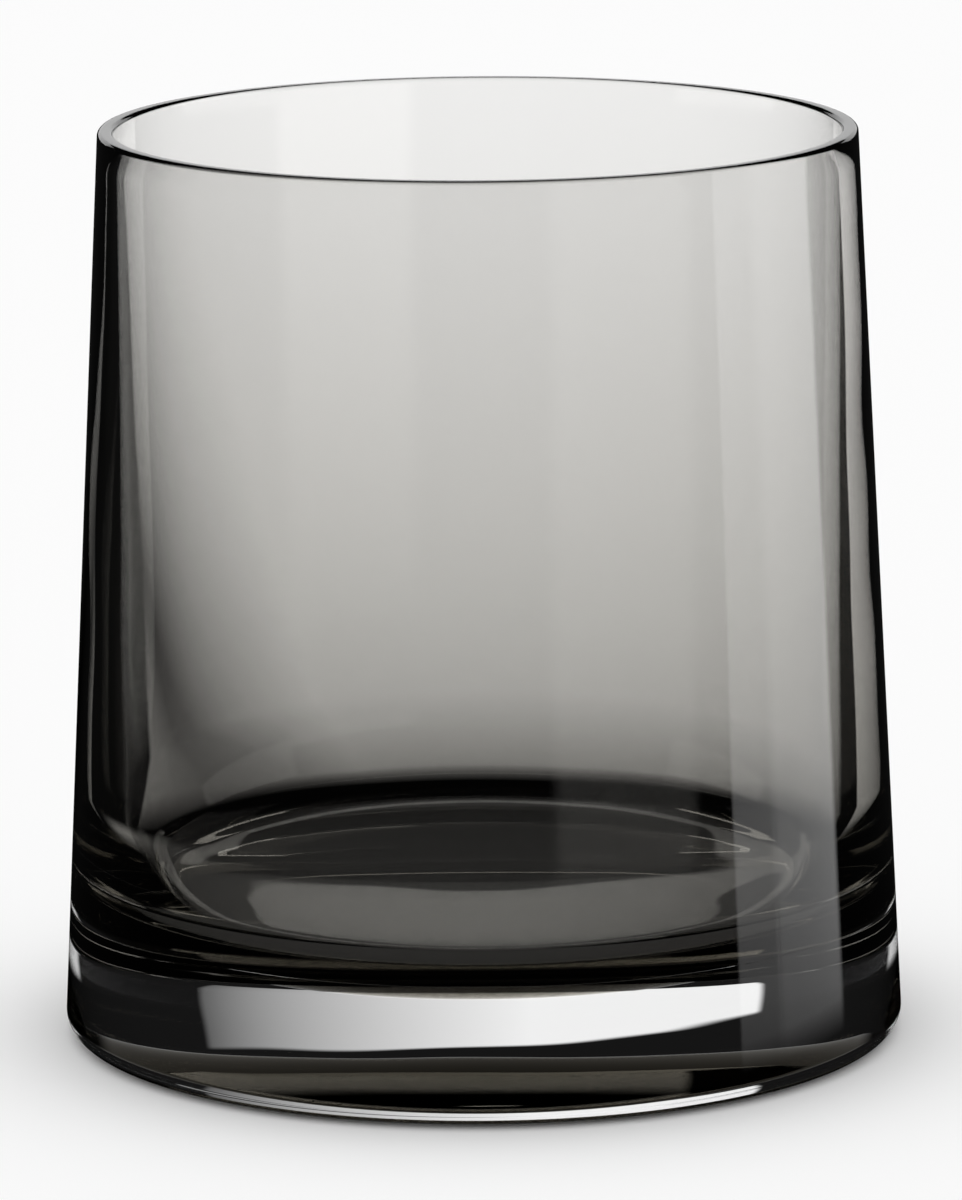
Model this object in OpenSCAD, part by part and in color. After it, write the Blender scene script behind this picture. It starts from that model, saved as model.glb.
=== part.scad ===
// Whiskey tumbler: a smoke-grey glass cup fused to a thick clear glass base.
//
// Millimetres. The axis is Z and the tumbler stands on z = 0, with its mouth up.
// Both pieces are solids of revolution. They meet face to face on a shallow bowl,
// where the two glasses are fused while hot. Its edge is the line round the outside.

/* [Overall] */
// Height from the table to the top of the rim
height = 95; // [85:1:105]
// Outside diameter of the rim
rim_d = 78.4; // [74:0.2:82]
// Outside diameter that the flared side would reach on the table
flare_d = 88; // [84:0.2:94]

/* [Clear base] */
// Height of the clear glass at the outside, up to the line where the smoke glass starts
base_h = 14.5; // [12:0.5:16]
// How much lower the fused face is in the middle than at the outside
seam_sag = 6.9; // [4:0.1:8]
// Radius of the rounded bottom edge
foot_r = 2.3; // [1:0.1:3]
// Diameter of the shallow dome that is ground into the foot
dome_d = 79; // [60:1:81]
// Height of that dome in the middle
dome_h = 1.4; // [0.4:0.1:2]

/* [Smoke cup] */
// Wall thickness at the rim
rim_wall = 1.7; // [1.5:0.1:2.5]
// Radius of the two polished edges of the rim
rim_round = 0.5; // [0.2:0.1:0.7]
// Widest inside diameter, a little more than at the mouth
bore_d = 75.8; // [74:0.1:76.5]
// Height above the table at which the inside is widest and starts to curve inwards
belly_top = 26; // [24:1:34]
// Radius of the inside curve that thickens the wall towards the floor
belly_r = 29; // [24:1:60]
// Radius of the inside corner between that curve and the floor
corner_r = 4.8; // [2:0.2:5]
// Height above the table of the edge of the inside floor
floor_z = 14.8; // [14:0.1:16]
// Slope at the edge of the dished floor, in degrees
dish_a = 10; // [2:0.5:12]

/* [Hidden] */
$fn = 96;

// Segments of a full circle for the wide, shallow curves
fine = 1440;

rim_r = rim_d / 2;
flare_r = flare_d / 2;
mouth_r = rim_r - rim_wall;
bore_r = bore_d / 2;
dome_r = dome_d / 2;

// Angle of the flared side from the vertical
flare_a = atan((flare_r - rim_r) / height);

// Centre of the round that joins the side to the foot, tangent to both
foot_x = flare_r - foot_r * tan(flare_a) - foot_r / cos(flare_a);

// Centre of the round on the outside edge of the rim, tangent to side and rim
rim_x = rim_r + rim_round * tan(flare_a) - rim_round / cos(flare_a);

// The fused face is part of a sphere that meets the outside at base_h
seam_x = flare_r - base_h * tan(flare_a);
seam_r = (seam_x * seam_x + seam_sag * seam_sag) / (2 * seam_sag);

// The dome under the foot is part of a sphere too
dome_ball = (dome_r * dome_r + dome_h * dome_h) / (2 * dome_h);

// The inside curve turns through belly_a before the corner takes over at join_z
belly_x = bore_r - belly_r;
corner_z = floor_z + corner_r * cos(dish_a);
belly_a = asin((belly_top - corner_z) / (belly_r - corner_r));
corner_x = belly_x + (belly_r - corner_r) * cos(belly_a);
join_x = corner_x + corner_r * cos(belly_a);
join_z = corner_z - corner_r * sin(belly_a);

// The corner runs out into the dished floor, which is part of a sphere
edge_x = corner_x + corner_r * sin(dish_a);
dish_r = edge_x / sin(dish_a);
dish_h = dish_r * (1 - cos(dish_a));

// Half outline of the whole outside, from the foot to the rim
module outside() {
    foot_top = foot_r * (1 + sin(flare_a));
    rim_low = height - rim_round * (1 - sin(flare_a));
    polygon([
        [0, 0],
        [foot_x, 0],
        [foot_x + foot_r * cos(flare_a), foot_top],
        [rim_x + rim_round * cos(flare_a), rim_low],
        [rim_x, height],
        [0, height]
    ]);
    translate([foot_x, foot_r]) circle(r = foot_r);
    translate([rim_x, height - rim_round]) circle(r = rim_round);
}

// Half outline of everything under the fused face
module under_seam() {
    difference() {
        translate([-1, -1]) square([flare_r + 2, base_h + 1]);
        translate([0, base_h - seam_sag + seam_r]) circle(r = seam_r, $fn = fine);
    }
}

// Half outline of the space for the drink, from the floor to the rim
module cavity() {
    polygon([
        [0, floor_z],
        [edge_x, floor_z],
        [join_x, join_z],
        [bore_r, belly_top],
        [mouth_r, height],
        [mouth_r, height + 1],
        [0, height + 1]
    ]);
    translate([corner_x, corner_z])
    intersection() {
        circle(r = corner_r);
        polygon([
            [0, 0],
            [2 * corner_r * sin(dish_a), -2 * corner_r * cos(dish_a)],
            [2 * corner_r, -2 * corner_r],
            [2 * corner_r * cos(belly_a), -2 * corner_r * sin(belly_a)]
        ]);
    }
    intersection() {
        translate([belly_x, belly_top]) circle(r = belly_r);
        translate([0, join_z]) square([bore_r, belly_top - join_z]);
    }
    intersection() {
        translate([0, floor_z - dish_h + dish_r]) circle(r = dish_r, $fn = fine);
        translate([0, floor_z - dish_h - 1]) square([edge_x, dish_h + 2]);
    }
}

// The corner of glass taken off the inside edge of the rim
module rim_relief() {
    difference() {
        translate([mouth_r - rim_round, height - rim_round]) square(2 * rim_round);
        translate([mouth_r + rim_round, height - rim_round]) circle(r = rim_round);
    }
}

// Half outline of the hollow under the foot
module under_dome() {
    intersection() {
        translate([0, dome_h - dome_ball]) circle(r = dome_ball, $fn = fine);
        translate([-1, 0]) square([dome_r + 1, dome_h]);
    }
}

// Smoke-grey cup: wall, rim and floor in one gather of glass
module smoke_cup() {
    color([0.30, 0.30, 0.29, 0.75])
    rotate_extrude()
    difference() {
        outside();
        under_seam();
        cavity();
        rim_relief();
    }
}

// Clear base: full-width foot with a rounded edge, standing on a narrow flat ring
module clear_base() {
    color([0.92, 0.96, 0.97, 0.45])
    rotate_extrude()
    difference() {
        intersection() {
            outside();
            under_seam();
        }
        under_dome();
    }
}

smoke_cup();
clear_base();
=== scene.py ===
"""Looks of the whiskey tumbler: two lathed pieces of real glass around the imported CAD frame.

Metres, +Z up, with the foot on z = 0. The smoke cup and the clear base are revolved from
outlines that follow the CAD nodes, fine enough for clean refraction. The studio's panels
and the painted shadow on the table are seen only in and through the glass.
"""
import math

import bpy
from mathutils import Matrix, Vector


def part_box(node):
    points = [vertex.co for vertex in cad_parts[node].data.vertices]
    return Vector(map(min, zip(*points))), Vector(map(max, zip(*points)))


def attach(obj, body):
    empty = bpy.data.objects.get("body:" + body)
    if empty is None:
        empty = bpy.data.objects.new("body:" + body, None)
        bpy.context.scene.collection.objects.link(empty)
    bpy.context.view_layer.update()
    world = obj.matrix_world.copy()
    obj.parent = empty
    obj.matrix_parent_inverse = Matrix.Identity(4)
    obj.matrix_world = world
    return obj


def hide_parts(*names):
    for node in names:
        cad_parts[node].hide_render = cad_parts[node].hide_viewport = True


MM = 0.001

# Camera, set first so that every later choice can be seen through it
LENS = 239.5
DISTANCE = 832 * MM
ELEVATION = math.radians(11.25)
ROLL = math.radians(0.41)
AIM_HEIGHT = 45.2 * MM
ORBIT_HEIGHT = 47.5 * MM

cam_data = bpy.data.cameras.new("camera")
cam_data.lens = LENS
cam_data.sensor_width = 36
cam_data.clip_start = 0.01
cam_data.clip_end = 50
camera = bpy.data.objects.new("camera", cam_data)
bpy.context.scene.collection.objects.link(camera)
bpy.context.scene.camera = camera
camera.location = (
    0,
    -DISTANCE * math.cos(ELEVATION),
    ORBIT_HEIGHT + DISTANCE * math.sin(ELEVATION),
)
look = Vector((0, 0, AIM_HEIGHT)) - camera.location
camera.rotation_mode = "QUATERNION"
turn = look.to_track_quat("-Z", "Y").to_matrix().to_4x4() @ Matrix.Rotation(-ROLL, 4, "Z")
camera.rotation_quaternion = turn.to_quaternion()

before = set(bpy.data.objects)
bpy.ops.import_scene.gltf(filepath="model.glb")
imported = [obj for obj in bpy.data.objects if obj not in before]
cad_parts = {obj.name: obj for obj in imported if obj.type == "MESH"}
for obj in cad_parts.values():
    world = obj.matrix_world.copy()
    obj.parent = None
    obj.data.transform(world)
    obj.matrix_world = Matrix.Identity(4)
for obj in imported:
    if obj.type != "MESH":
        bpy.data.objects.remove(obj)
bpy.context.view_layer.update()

# Sizes of the glass. Both heights are measured on the CAD nodes, the rest are the CAD's dimensions.
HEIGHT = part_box("smoke_cup")[1].z
BASE_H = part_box("clear_base")[1].z
FLARE_R = 44.0 * MM
RIM_R = 39.2 * MM
SEAM_SAG = 6.9 * MM
RIM_WALL = 1.7 * MM
RIM_ROUND = 0.5 * MM
BORE_R = 37.9 * MM
BELLY_TOP = 26 * MM
BELLY_R = 29 * MM
CORNER_R = 4.8 * MM
FLOOR_Z = 14.8 * MM
DISH_A = math.radians(10)
FOOT_R = 2.3 * MM
DOME_R = 39.5 * MM
DOME_H = 1.4 * MM

# How much the radius shrinks per metre of height, and the same as an angle
FLARE = (FLARE_R - RIM_R) / HEIGHT
LEAN = math.atan(FLARE)

# Half the space between the two fused faces
GAP = 0.01 * MM

# How finely the outlines are cut: round the axis, then along each stretch
SPOKES = 256
SEAM_STEPS = 40
SIDE_STEPS = 40
EDGE_STEPS = 10
BORE_STEPS = 24
CORNER_STEPS = 28
FLOOR_STEPS = 32
DOME_STEPS = 24
FOOT_STEPS = 20
BASE_SIDE_STEPS = 12

# Faces that meet at more than this angle keep a sharp edge
SHARP_ANGLE = math.radians(40)

# How the glass bends and absorbs light, and the slight waviness of hand-made ware
GLASS_IOR = 1.5
FUSED_IOR = 1.0
SMOKE_COLOR = (0.22, 0.195, 0.13)
SMOKE_DENSITY = 100
WAVE_SCALE = 35
WAVE_HEIGHT = 0.15 * MM


def side_r(z):
    """Radius of the flared outside at height z."""
    return FLARE_R - z * FLARE


def arc(cx, cz, r, start, end, count):
    """Points on a circle in the outline plane, from one angle to another, in degrees."""
    points = []
    for i in range(count + 1):
        a = math.radians(start + (end - start) * i / count)
        points.append((cx + r * math.cos(a), cz + r * math.sin(a)))
    return points


def line(a, b, count):
    """Points from a to b, without b."""
    step_r = (b[0] - a[0]) / count
    step_z = (b[1] - a[1]) / count
    return [(a[0] + step_r * i, a[1] + step_z * i) for i in range(count)]


def ball_r(cap_r, cap_h):
    """Radius of the sphere from which a cap of this radius and height is cut."""
    return (cap_r**2 + cap_h**2) / (2 * cap_h)


def seam_points(shift):
    """The fused face from the axis to the outside: a shallow bowl that sags in the middle."""
    r_out = side_r(BASE_H)
    ball = ball_r(r_out, SEAM_SAG)
    centre_z = BASE_H - SEAM_SAG + ball + shift
    radii = [r_out * i / SEAM_STEPS for i in range(SEAM_STEPS + 1)]
    return [(r, centre_z - math.sqrt(ball**2 - r**2)) for r in radii]


def cup_outline():
    """The smoke cup's outline: the fused face, the outside, the rim, the inside and its floor."""
    rim_z = HEIGHT - RIM_ROUND
    rim_x = RIM_R + RIM_ROUND * math.tan(LEAN) - RIM_ROUND / math.cos(LEAN)
    rim_out = arc(rim_x, rim_z, RIM_ROUND, math.degrees(LEAN), 90, EDGE_STEPS)
    rim_in = arc(RIM_R - RIM_WALL + RIM_ROUND, rim_z, RIM_ROUND, 90, 180, EDGE_STEPS)

    # The inside curve turns through belly_a before the corner takes over
    belly_x = BORE_R - BELLY_R
    corner_z = FLOOR_Z + CORNER_R * math.cos(DISH_A)
    belly_a = math.asin((BELLY_TOP - corner_z) / (BELLY_R - CORNER_R))
    corner_x = belly_x + (BELLY_R - CORNER_R) * math.cos(belly_a)
    join = -math.degrees(belly_a)
    floor_start = math.degrees(DISH_A) - 90

    # The corner runs out into the dished floor, which is part of a sphere
    edge_x = corner_x + CORNER_R * math.sin(DISH_A)
    dish_r = edge_x / math.sin(DISH_A)
    dish_z = FLOOR_Z + dish_r * math.cos(DISH_A)

    seam = seam_points(GAP)
    points = seam[:-1]
    points += line(seam[-1], rim_out[0], SIDE_STEPS)
    points += rim_out
    points += rim_in
    points += line(rim_in[-1], (BORE_R, BELLY_TOP), BORE_STEPS)[1:]
    points += arc(belly_x, BELLY_TOP, BELLY_R, 0, join, BORE_STEPS)
    points += arc(corner_x, corner_z, CORNER_R, join, floor_start, CORNER_STEPS)[1:]
    for i in range(1, FLOOR_STEPS + 1):
        r = edge_x * (1 - i / FLOOR_STEPS)
        points.append((r, dish_z - math.sqrt(dish_r**2 - r**2)))
    return points, seam


def base_outline():
    """The clear base's outline: the dome under it, the rounded foot, the outside and the fused face."""
    ball = ball_r(DOME_R, DOME_H)
    foot_x = side_r(0) - FOOT_R * FLARE - FOOT_R / math.cos(LEAN)
    foot = arc(foot_x, FOOT_R, FOOT_R, -90, math.degrees(LEAN), FOOT_STEPS)
    seam = seam_points(-GAP)
    points = []
    for i in range(DOME_STEPS + 1):
        r = DOME_R * i / DOME_STEPS
        points.append((r, DOME_H - ball + math.sqrt(ball**2 - r**2)))
    points += foot
    points += line(foot[-1], seam[-1], BASE_SIDE_STEPS)[1:]
    points += seam[::-1]
    return points, seam


def lathe(name, outline, seam):
    """Revolves an outline that starts and ends on the axis, and marks how each face bends light."""
    seam = set(seam)
    verts = []
    rings = []
    for r, z in outline:
        start = len(verts)
        if r == 0:
            verts.append((0, 0, z))
            rings.append([start])
            continue
        for k in range(SPOKES):
            a = 2 * math.pi * k / SPOKES
            verts.append((r * math.cos(a), r * math.sin(a), z))
        rings.append(list(range(start, start + SPOKES)))
    faces = []
    ior = []
    for i in range(len(rings) - 1):
        a, b = rings[i], rings[i + 1]
        fused = outline[i] in seam and outline[i + 1] in seam
        for k in range(SPOKES):
            n = (k + 1) % SPOKES
            if len(a) == 1:
                faces.append((a[0], b[n], b[k]))
            elif len(b) == 1:
                faces.append((a[k], a[n], b[0]))
            else:
                faces.append((a[k], a[n], b[n], b[k]))
            ior.append(FUSED_IOR if fused else GLASS_IOR)
    mesh = bpy.data.meshes.new(name)
    mesh.from_pydata(verts, [], faces)
    mesh.update()
    attribute = mesh.attributes.new("glass_ior", "FLOAT", "FACE")
    attribute.data.foreach_set("value", ior)
    mesh.polygons.foreach_set("use_smooth", [True] * len(faces))
    mesh.set_sharp_from_angle(angle=SHARP_ANGLE)
    obj = bpy.data.objects.new(name, mesh)
    bpy.context.scene.collection.objects.link(obj)
    return obj


def glass(name):
    """Polished, colourless, slightly wavy glass. The mesh says how much each face bends light."""
    material = bpy.data.materials.new(name)
    material.use_nodes = True
    tree = material.node_tree
    shader = tree.nodes["Principled BSDF"]
    shader.inputs["Base Color"].default_value = (1, 1, 1, 1)
    shader.inputs["Roughness"].default_value = 0.0
    shader.inputs["Transmission Weight"].default_value = 1.0
    ior = tree.nodes.new("ShaderNodeAttribute")
    ior.attribute_name = "glass_ior"
    tree.links.new(ior.outputs["Fac"], shader.inputs["IOR"])
    coord = tree.nodes.new("ShaderNodeTexCoord")
    waves = tree.nodes.new("ShaderNodeTexNoise")
    waves.inputs["Scale"].default_value = WAVE_SCALE
    waves.inputs["Detail"].default_value = 1.0
    tree.links.new(coord.outputs["Object"], waves.inputs["Vector"])
    bump = tree.nodes.new("ShaderNodeBump")
    bump.inputs["Strength"].default_value = 1.0
    bump.inputs["Distance"].default_value = WAVE_HEIGHT
    tree.links.new(waves.outputs[0], bump.inputs["Height"])
    tree.links.new(bump.outputs["Normal"], shader.inputs["Normal"])
    return material


def smoke_glass(name):
    """Glass whose volume absorbs light, so that it is darker where it is thicker."""
    material = glass(name)
    tree = material.node_tree
    smoke = tree.nodes.new("ShaderNodeVolumeAbsorption")
    smoke.inputs["Color"].default_value = (*SMOKE_COLOR, 1)
    smoke.inputs["Density"].default_value = SMOKE_DENSITY
    tree.links.new(smoke.outputs["Volume"], tree.nodes["Material Output"].inputs["Volume"])
    return material


cup = lathe("smoke_cup_glass", *cup_outline())
base = lathe("clear_base_glass", *base_outline())
cup.data.materials.append(smoke_glass("smoke_glass"))
base.data.materials.append(glass("clear_glass"))
for obj, node, slot in ((cup, "smoke_cup", "smoke_glass"), (base, "clear_base", "clear_glass")):
    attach(obj, "root")
    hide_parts(node)

# Light scattered by the floor doesn't meet the cup, which makes the contact shadow lighter
cup.visible_diffuse = False

# Studio, in degrees: azimuth is 0 towards +Y and positive towards +X, elevation is above the horizon.
# Each panel: azimuth from and to with softness, elevation from and to with softness, strength.
# An elevation from -91 has no lower edge.
SOFTBOXES = [
    (64, 91, 3, -91, 40, 2, 1.9),
    (91, 106, 1.5, -91, 40, 2, 1.3),
    (-29, 31, 2, 2, 16, 1, 0.9),
]
SIDE_PANELS = [
    (-80, -30, 16, -91, -22, 6, 1.0),
    (-112, -68, 4, -8, 12, 2, 1.0),
    (68, 112, 4, -8, 12, 2, 1.0),
    (112, 158, 6, -91, -3, 2, 1.0),
]
ROOM = 0.008

# White paper behind the glass: azimuth from and to with softness, and its edges in elevation
PAPER_LOW = (-17, 34, 1.5)
PAPER_LOW_LIGHT = 1.05
BELOW_HORIZON = (-91, 0, 3)
PAPER_HIGH = (-28.5, 29.5, 1.5)
PAPER_TOP = 15.7
PAPER_SLANT = 0.09
PAPER_SPAN = 15
PAPER_EDGE = 0.6
# Above the horizon the paper's light falls from one (azimuth, light) to the other
DIM_FROM = (-4, 0.93)
DIM_TO = (29, 0.12)

# A ray that has met more faces than this sees brighter paper with a lower top, and a dim wall above it
DEEP = 4.5
DEEP_PAPER_TOP = 13.0
DEEP_PAPER_EXTRA = 0.35
DEEP_WALL = (-60, 60, 10)
DEEP_WALL_SPAN = 30
DEEP_WALL_LIGHT = 0.2


def maths(tree):
    """Gives a function that adds a math node to the tree, from numbers or sockets."""
    def add(operation, *values):
        node = tree.nodes.new("ShaderNodeMath")
        node.operation = operation
        for i, value in enumerate(values):
            if isinstance(value, (int, float)):
                node.inputs[i].default_value = value
            else:
                tree.links.new(value, node.inputs[i])
        return node.outputs[0]

    return add


def ramp(tree, value, start, end, kind="LINEAR"):
    """Goes from start = (value, result) to end = (value, result), and stays level outside them."""
    node = tree.nodes.new("ShaderNodeMapRange")
    node.interpolation_type = kind
    tree.links.new(value, node.inputs["Value"])
    node.inputs["From Min"].default_value = start[0]
    node.inputs["From Max"].default_value = end[0]
    node.inputs["To Min"].default_value = start[1]
    node.inputs["To Max"].default_value = end[1]
    return node.outputs[0]


def studio_world():
    """White, but mirrored rays see the softboxes, and rays through the glass the paper and side panels."""
    world = bpy.data.worlds.new("studio")
    bpy.context.scene.world = world
    world.use_nodes = True
    tree = world.node_tree
    tree.nodes.clear()
    out = tree.nodes.new("ShaderNodeOutputWorld")
    path = tree.nodes.new("ShaderNodeLightPath")
    coord = tree.nodes.new("ShaderNodeTexCoord")
    way = tree.nodes.new("ShaderNodeSeparateXYZ")
    tree.links.new(coord.outputs["Generated"], way.inputs[0])
    calc = maths(tree)
    az = calc("MULTIPLY", calc("ARCTAN2", way.outputs["X"], way.outputs["Y"]), 180 / math.pi)
    el = calc("MULTIPLY", calc("ARCSINE", way.outputs["Z"]), 180 / math.pi)

    def band(value, low, high, soft):
        """1 between low and high and 0 outside them, with soft edges."""
        half = soft / 2
        up = ramp(tree, value, (low - half, 0), (low + half, 1), "SMOOTHSTEP")
        down = ramp(tree, value, (high - half, 1), (high + half, 0), "SMOOTHSTEP")
        return calc("MULTIPLY", up, down)

    def panels(table):
        """The dim room with the panels of a table in it."""
        total = ROOM
        for az0, az1, az_soft, el0, el1, el_soft, strength in table:
            panel = calc("MULTIPLY", band(az, az0, az1, az_soft), band(el, el0, el1, el_soft))
            total = calc("MULTIPLY_ADD", panel, strength, total)
        return total

    def paper():
        """The paper behind the glass. Above the horizon its top edge slants, and it dims to one side."""
        deep = calc("GREATER_THAN", path.outputs["Ray Depth"], DEEP)
        top = calc("MULTIPLY_ADD", deep, DEEP_PAPER_TOP - PAPER_TOP, PAPER_TOP)
        level = calc("SUBTRACT", el, calc("MULTIPLY_ADD", az, PAPER_SLANT, top))
        below = band(el, *BELOW_HORIZON)
        low = calc("MULTIPLY", calc("MULTIPLY", band(az, *PAPER_LOW), below), PAPER_LOW_LIGHT)
        high = calc("MULTIPLY", band(az, *PAPER_HIGH), band(level, -PAPER_SPAN, 0, PAPER_EDGE))
        high = calc("MULTIPLY", high, calc("SUBTRACT", 1.0, below))
        light = calc("MULTIPLY_ADD", deep, DEEP_PAPER_EXTRA, ramp(tree, az, DIM_FROM, DIM_TO))
        wall = calc("MULTIPLY", band(level, 0, DEEP_WALL_SPAN, PAPER_EDGE), band(az, *DEEP_WALL))
        wall = calc("MULTIPLY", wall, deep)
        low = calc("MULTIPLY_ADD", wall, DEEP_WALL_LIGHT, low)
        return calc("MULTIPLY_ADD", high, light, low)

    def white(strength=None):
        """White light, as strong as a socket says."""
        node = tree.nodes.new("ShaderNodeBackground")
        node.inputs["Color"].default_value = (1, 1, 1, 1)
        if strength is not None:
            tree.links.new(strength, node.inputs["Strength"])
        return node.outputs[0]

    def choose(test, no, yes):
        """One light for rays of a kind and another for the rest."""
        node = tree.nodes.new("ShaderNodeMixShader")
        tree.links.new(path.outputs[test], node.inputs[0])
        tree.links.new(no, node.inputs[1])
        tree.links.new(yes, node.inputs[2])
        return node.outputs[0]

    mirrored = choose("Is Glossy Ray", white(), white(panels(SOFTBOXES)))
    through = white(calc("ADD", panels(SIDE_PANELS), paper()))
    tree.links.new(choose("Is Transmission Ray", mirrored, through), out.inputs["Surface"])


studio_world()


# The stage: a wide floor, and just above it a smaller disc, painted with the tumbler's shadow, that is
# seen only in and through the glass
STAGE_SIDES = 96
FLOOR_R = 6.0
FLOOR_DROP = 0.2 * MM
FLOOR_COLOR = (0.97, 0.97, 0.97)
VEIL_R = 1.5
VEIL_DROP = 0.1 * MM

# The tumbler's shadow on the table, painted onto the disc. It is full inside one radius and opens up over
# the next stretch, and it fades with the distance from the foot. Under the foot a faint painted glow
# stands in for the light that comes through the glass onto the table.
FOOT_EDGE = 42 * MM
PAINTED_FOOT_GLOW = 0.06
FULL_SHADOW_R = 59.5 * MM
OPENS_OVER = 16 * MM
FADE_LENGTH = 60 * MM
# A wedge of painted shadow behind and to the left, between two lines x = -(slope * y + start). It is
# as strong as its gain says at WEDGE_Y, and it fades towards the back.
WEDGE_NEAR = (0.165, 3.7 * MM)
WEDGE_FAR = (0.62, 30 * MM)
WEDGE_NEAR_GAIN = 30
WEDGE_FAR_GAIN = 20
WEDGE_Y = 100 * MM
WEDGE_LENGTH = 115 * MM
WEDGE_MOST = 0.95


def disc(name, radius, z, color):
    """A flat, matt, round piece of the stage."""
    rim = []
    for k in range(STAGE_SIDES):
        a = 2 * math.pi * k / STAGE_SIDES
        rim.append((radius * math.cos(a), radius * math.sin(a), z))
    mesh = bpy.data.meshes.new(name)
    mesh.from_pydata(rim, [], [list(range(STAGE_SIDES))])
    obj = bpy.data.objects.new(name, mesh)
    bpy.context.scene.collection.objects.link(obj)
    material = bpy.data.materials.new(name)
    material.use_nodes = True
    shader = material.node_tree.nodes["Principled BSDF"]
    shader.inputs["Base Color"].default_value = (*color, 1)
    shader.inputs["Roughness"].default_value = 0.9
    shader.inputs["Specular IOR Level"].default_value = 0.0
    mesh.materials.append(material)
    return obj


def painted_table_shadow():
    """The painted shadow on the table as the glass shows it: clear where the table is lit, dark elsewhere.
    """
    obj = disc("painted_table_shadow", VEIL_R, -VEIL_DROP, (0, 0, 0))
    tree = obj.data.materials[0].node_tree
    tree.nodes.clear()
    out = tree.nodes.new("ShaderNodeOutputMaterial")
    coord = tree.nodes.new("ShaderNodeTexCoord")
    place = tree.nodes.new("ShaderNodeSeparateXYZ")
    tree.links.new(coord.outputs["Object"], place.inputs[0])
    length = tree.nodes.new("ShaderNodeVectorMath")
    length.operation = "LENGTH"
    tree.links.new(coord.outputs["Object"], length.inputs[0])
    x = place.outputs["X"]
    y = place.outputs["Y"]
    r = length.outputs["Value"]
    calc = maths(tree)

    def clamp(value, most=1.0):
        return calc("MINIMUM", calc("MAXIMUM", value, 0.0), most)

    # Painted shadow: how dark the disc is at each point of the table
    past_foot = calc("MAXIMUM", calc("SUBTRACT", r, FOOT_EDGE), 0.0)
    near = calc("EXPONENT", calc("MULTIPLY", past_foot, -1 / FADE_LENGTH))
    fade = calc("EXPONENT", calc("MULTIPLY", calc("SUBTRACT", y, WEDGE_Y), -1 / WEDGE_LENGTH))
    inside = calc("SUBTRACT", calc("MULTIPLY", x, -1.0), calc("MULTIPLY_ADD", y, *WEDGE_NEAR))
    wedge = clamp(calc("MULTIPLY", calc("MULTIPLY", inside, WEDGE_NEAR_GAIN), fade), WEDGE_MOST)
    inside = calc("ADD", calc("MULTIPLY_ADD", y, *WEDGE_FAR), x)
    wedge = calc("MULTIPLY", wedge, clamp(calc("MULTIPLY", inside, WEDGE_FAR_GAIN)))
    opened = clamp(calc("MULTIPLY", calc("SUBTRACT", r, FULL_SHADOW_R), 1 / OPENS_OVER))
    lit = calc("MULTIPLY", calc("SUBTRACT", 1.0, near), calc("SUBTRACT", 1.0, wedge))
    lit = calc("MULTIPLY", lit, opened)

    # A faint painted glow under the foot, in place of the light that comes through the glass
    glow = tree.nodes.new("ShaderNodeEmission")
    under = calc("MULTIPLY", calc("LESS_THAN", r, FOOT_EDGE), PAINTED_FOOT_GLOW)
    tree.links.new(under, glow.inputs["Strength"])
    clear = tree.nodes.new("ShaderNodeBsdfTransparent")
    mix = tree.nodes.new("ShaderNodeMixShader")
    tree.links.new(calc("SUBTRACT", 1.0, lit), mix.inputs[0])
    tree.links.new(clear.outputs[0], mix.inputs[1])
    tree.links.new(glow.outputs[0], mix.inputs[2])
    tree.links.new(mix.outputs[0], out.inputs["Surface"])
    obj.visible_camera = False
    obj.visible_diffuse = False
    obj.visible_shadow = False


floor = disc("floor", FLOOR_R, -FLOOR_DROP, FLOOR_COLOR)
floor.visible_glossy = False
floor.visible_transmission = False
painted_table_shadow()

scene = bpy.context.scene
scene.view_settings.view_transform = "Standard"
scene.cycles.max_bounces = 32
scene.cycles.transmission_bounces = 32
scene.cycles.glossy_bounces = 16
scene.cycles.diffuse_bounces = 3
scene.cycles.transparent_max_bounces = 16
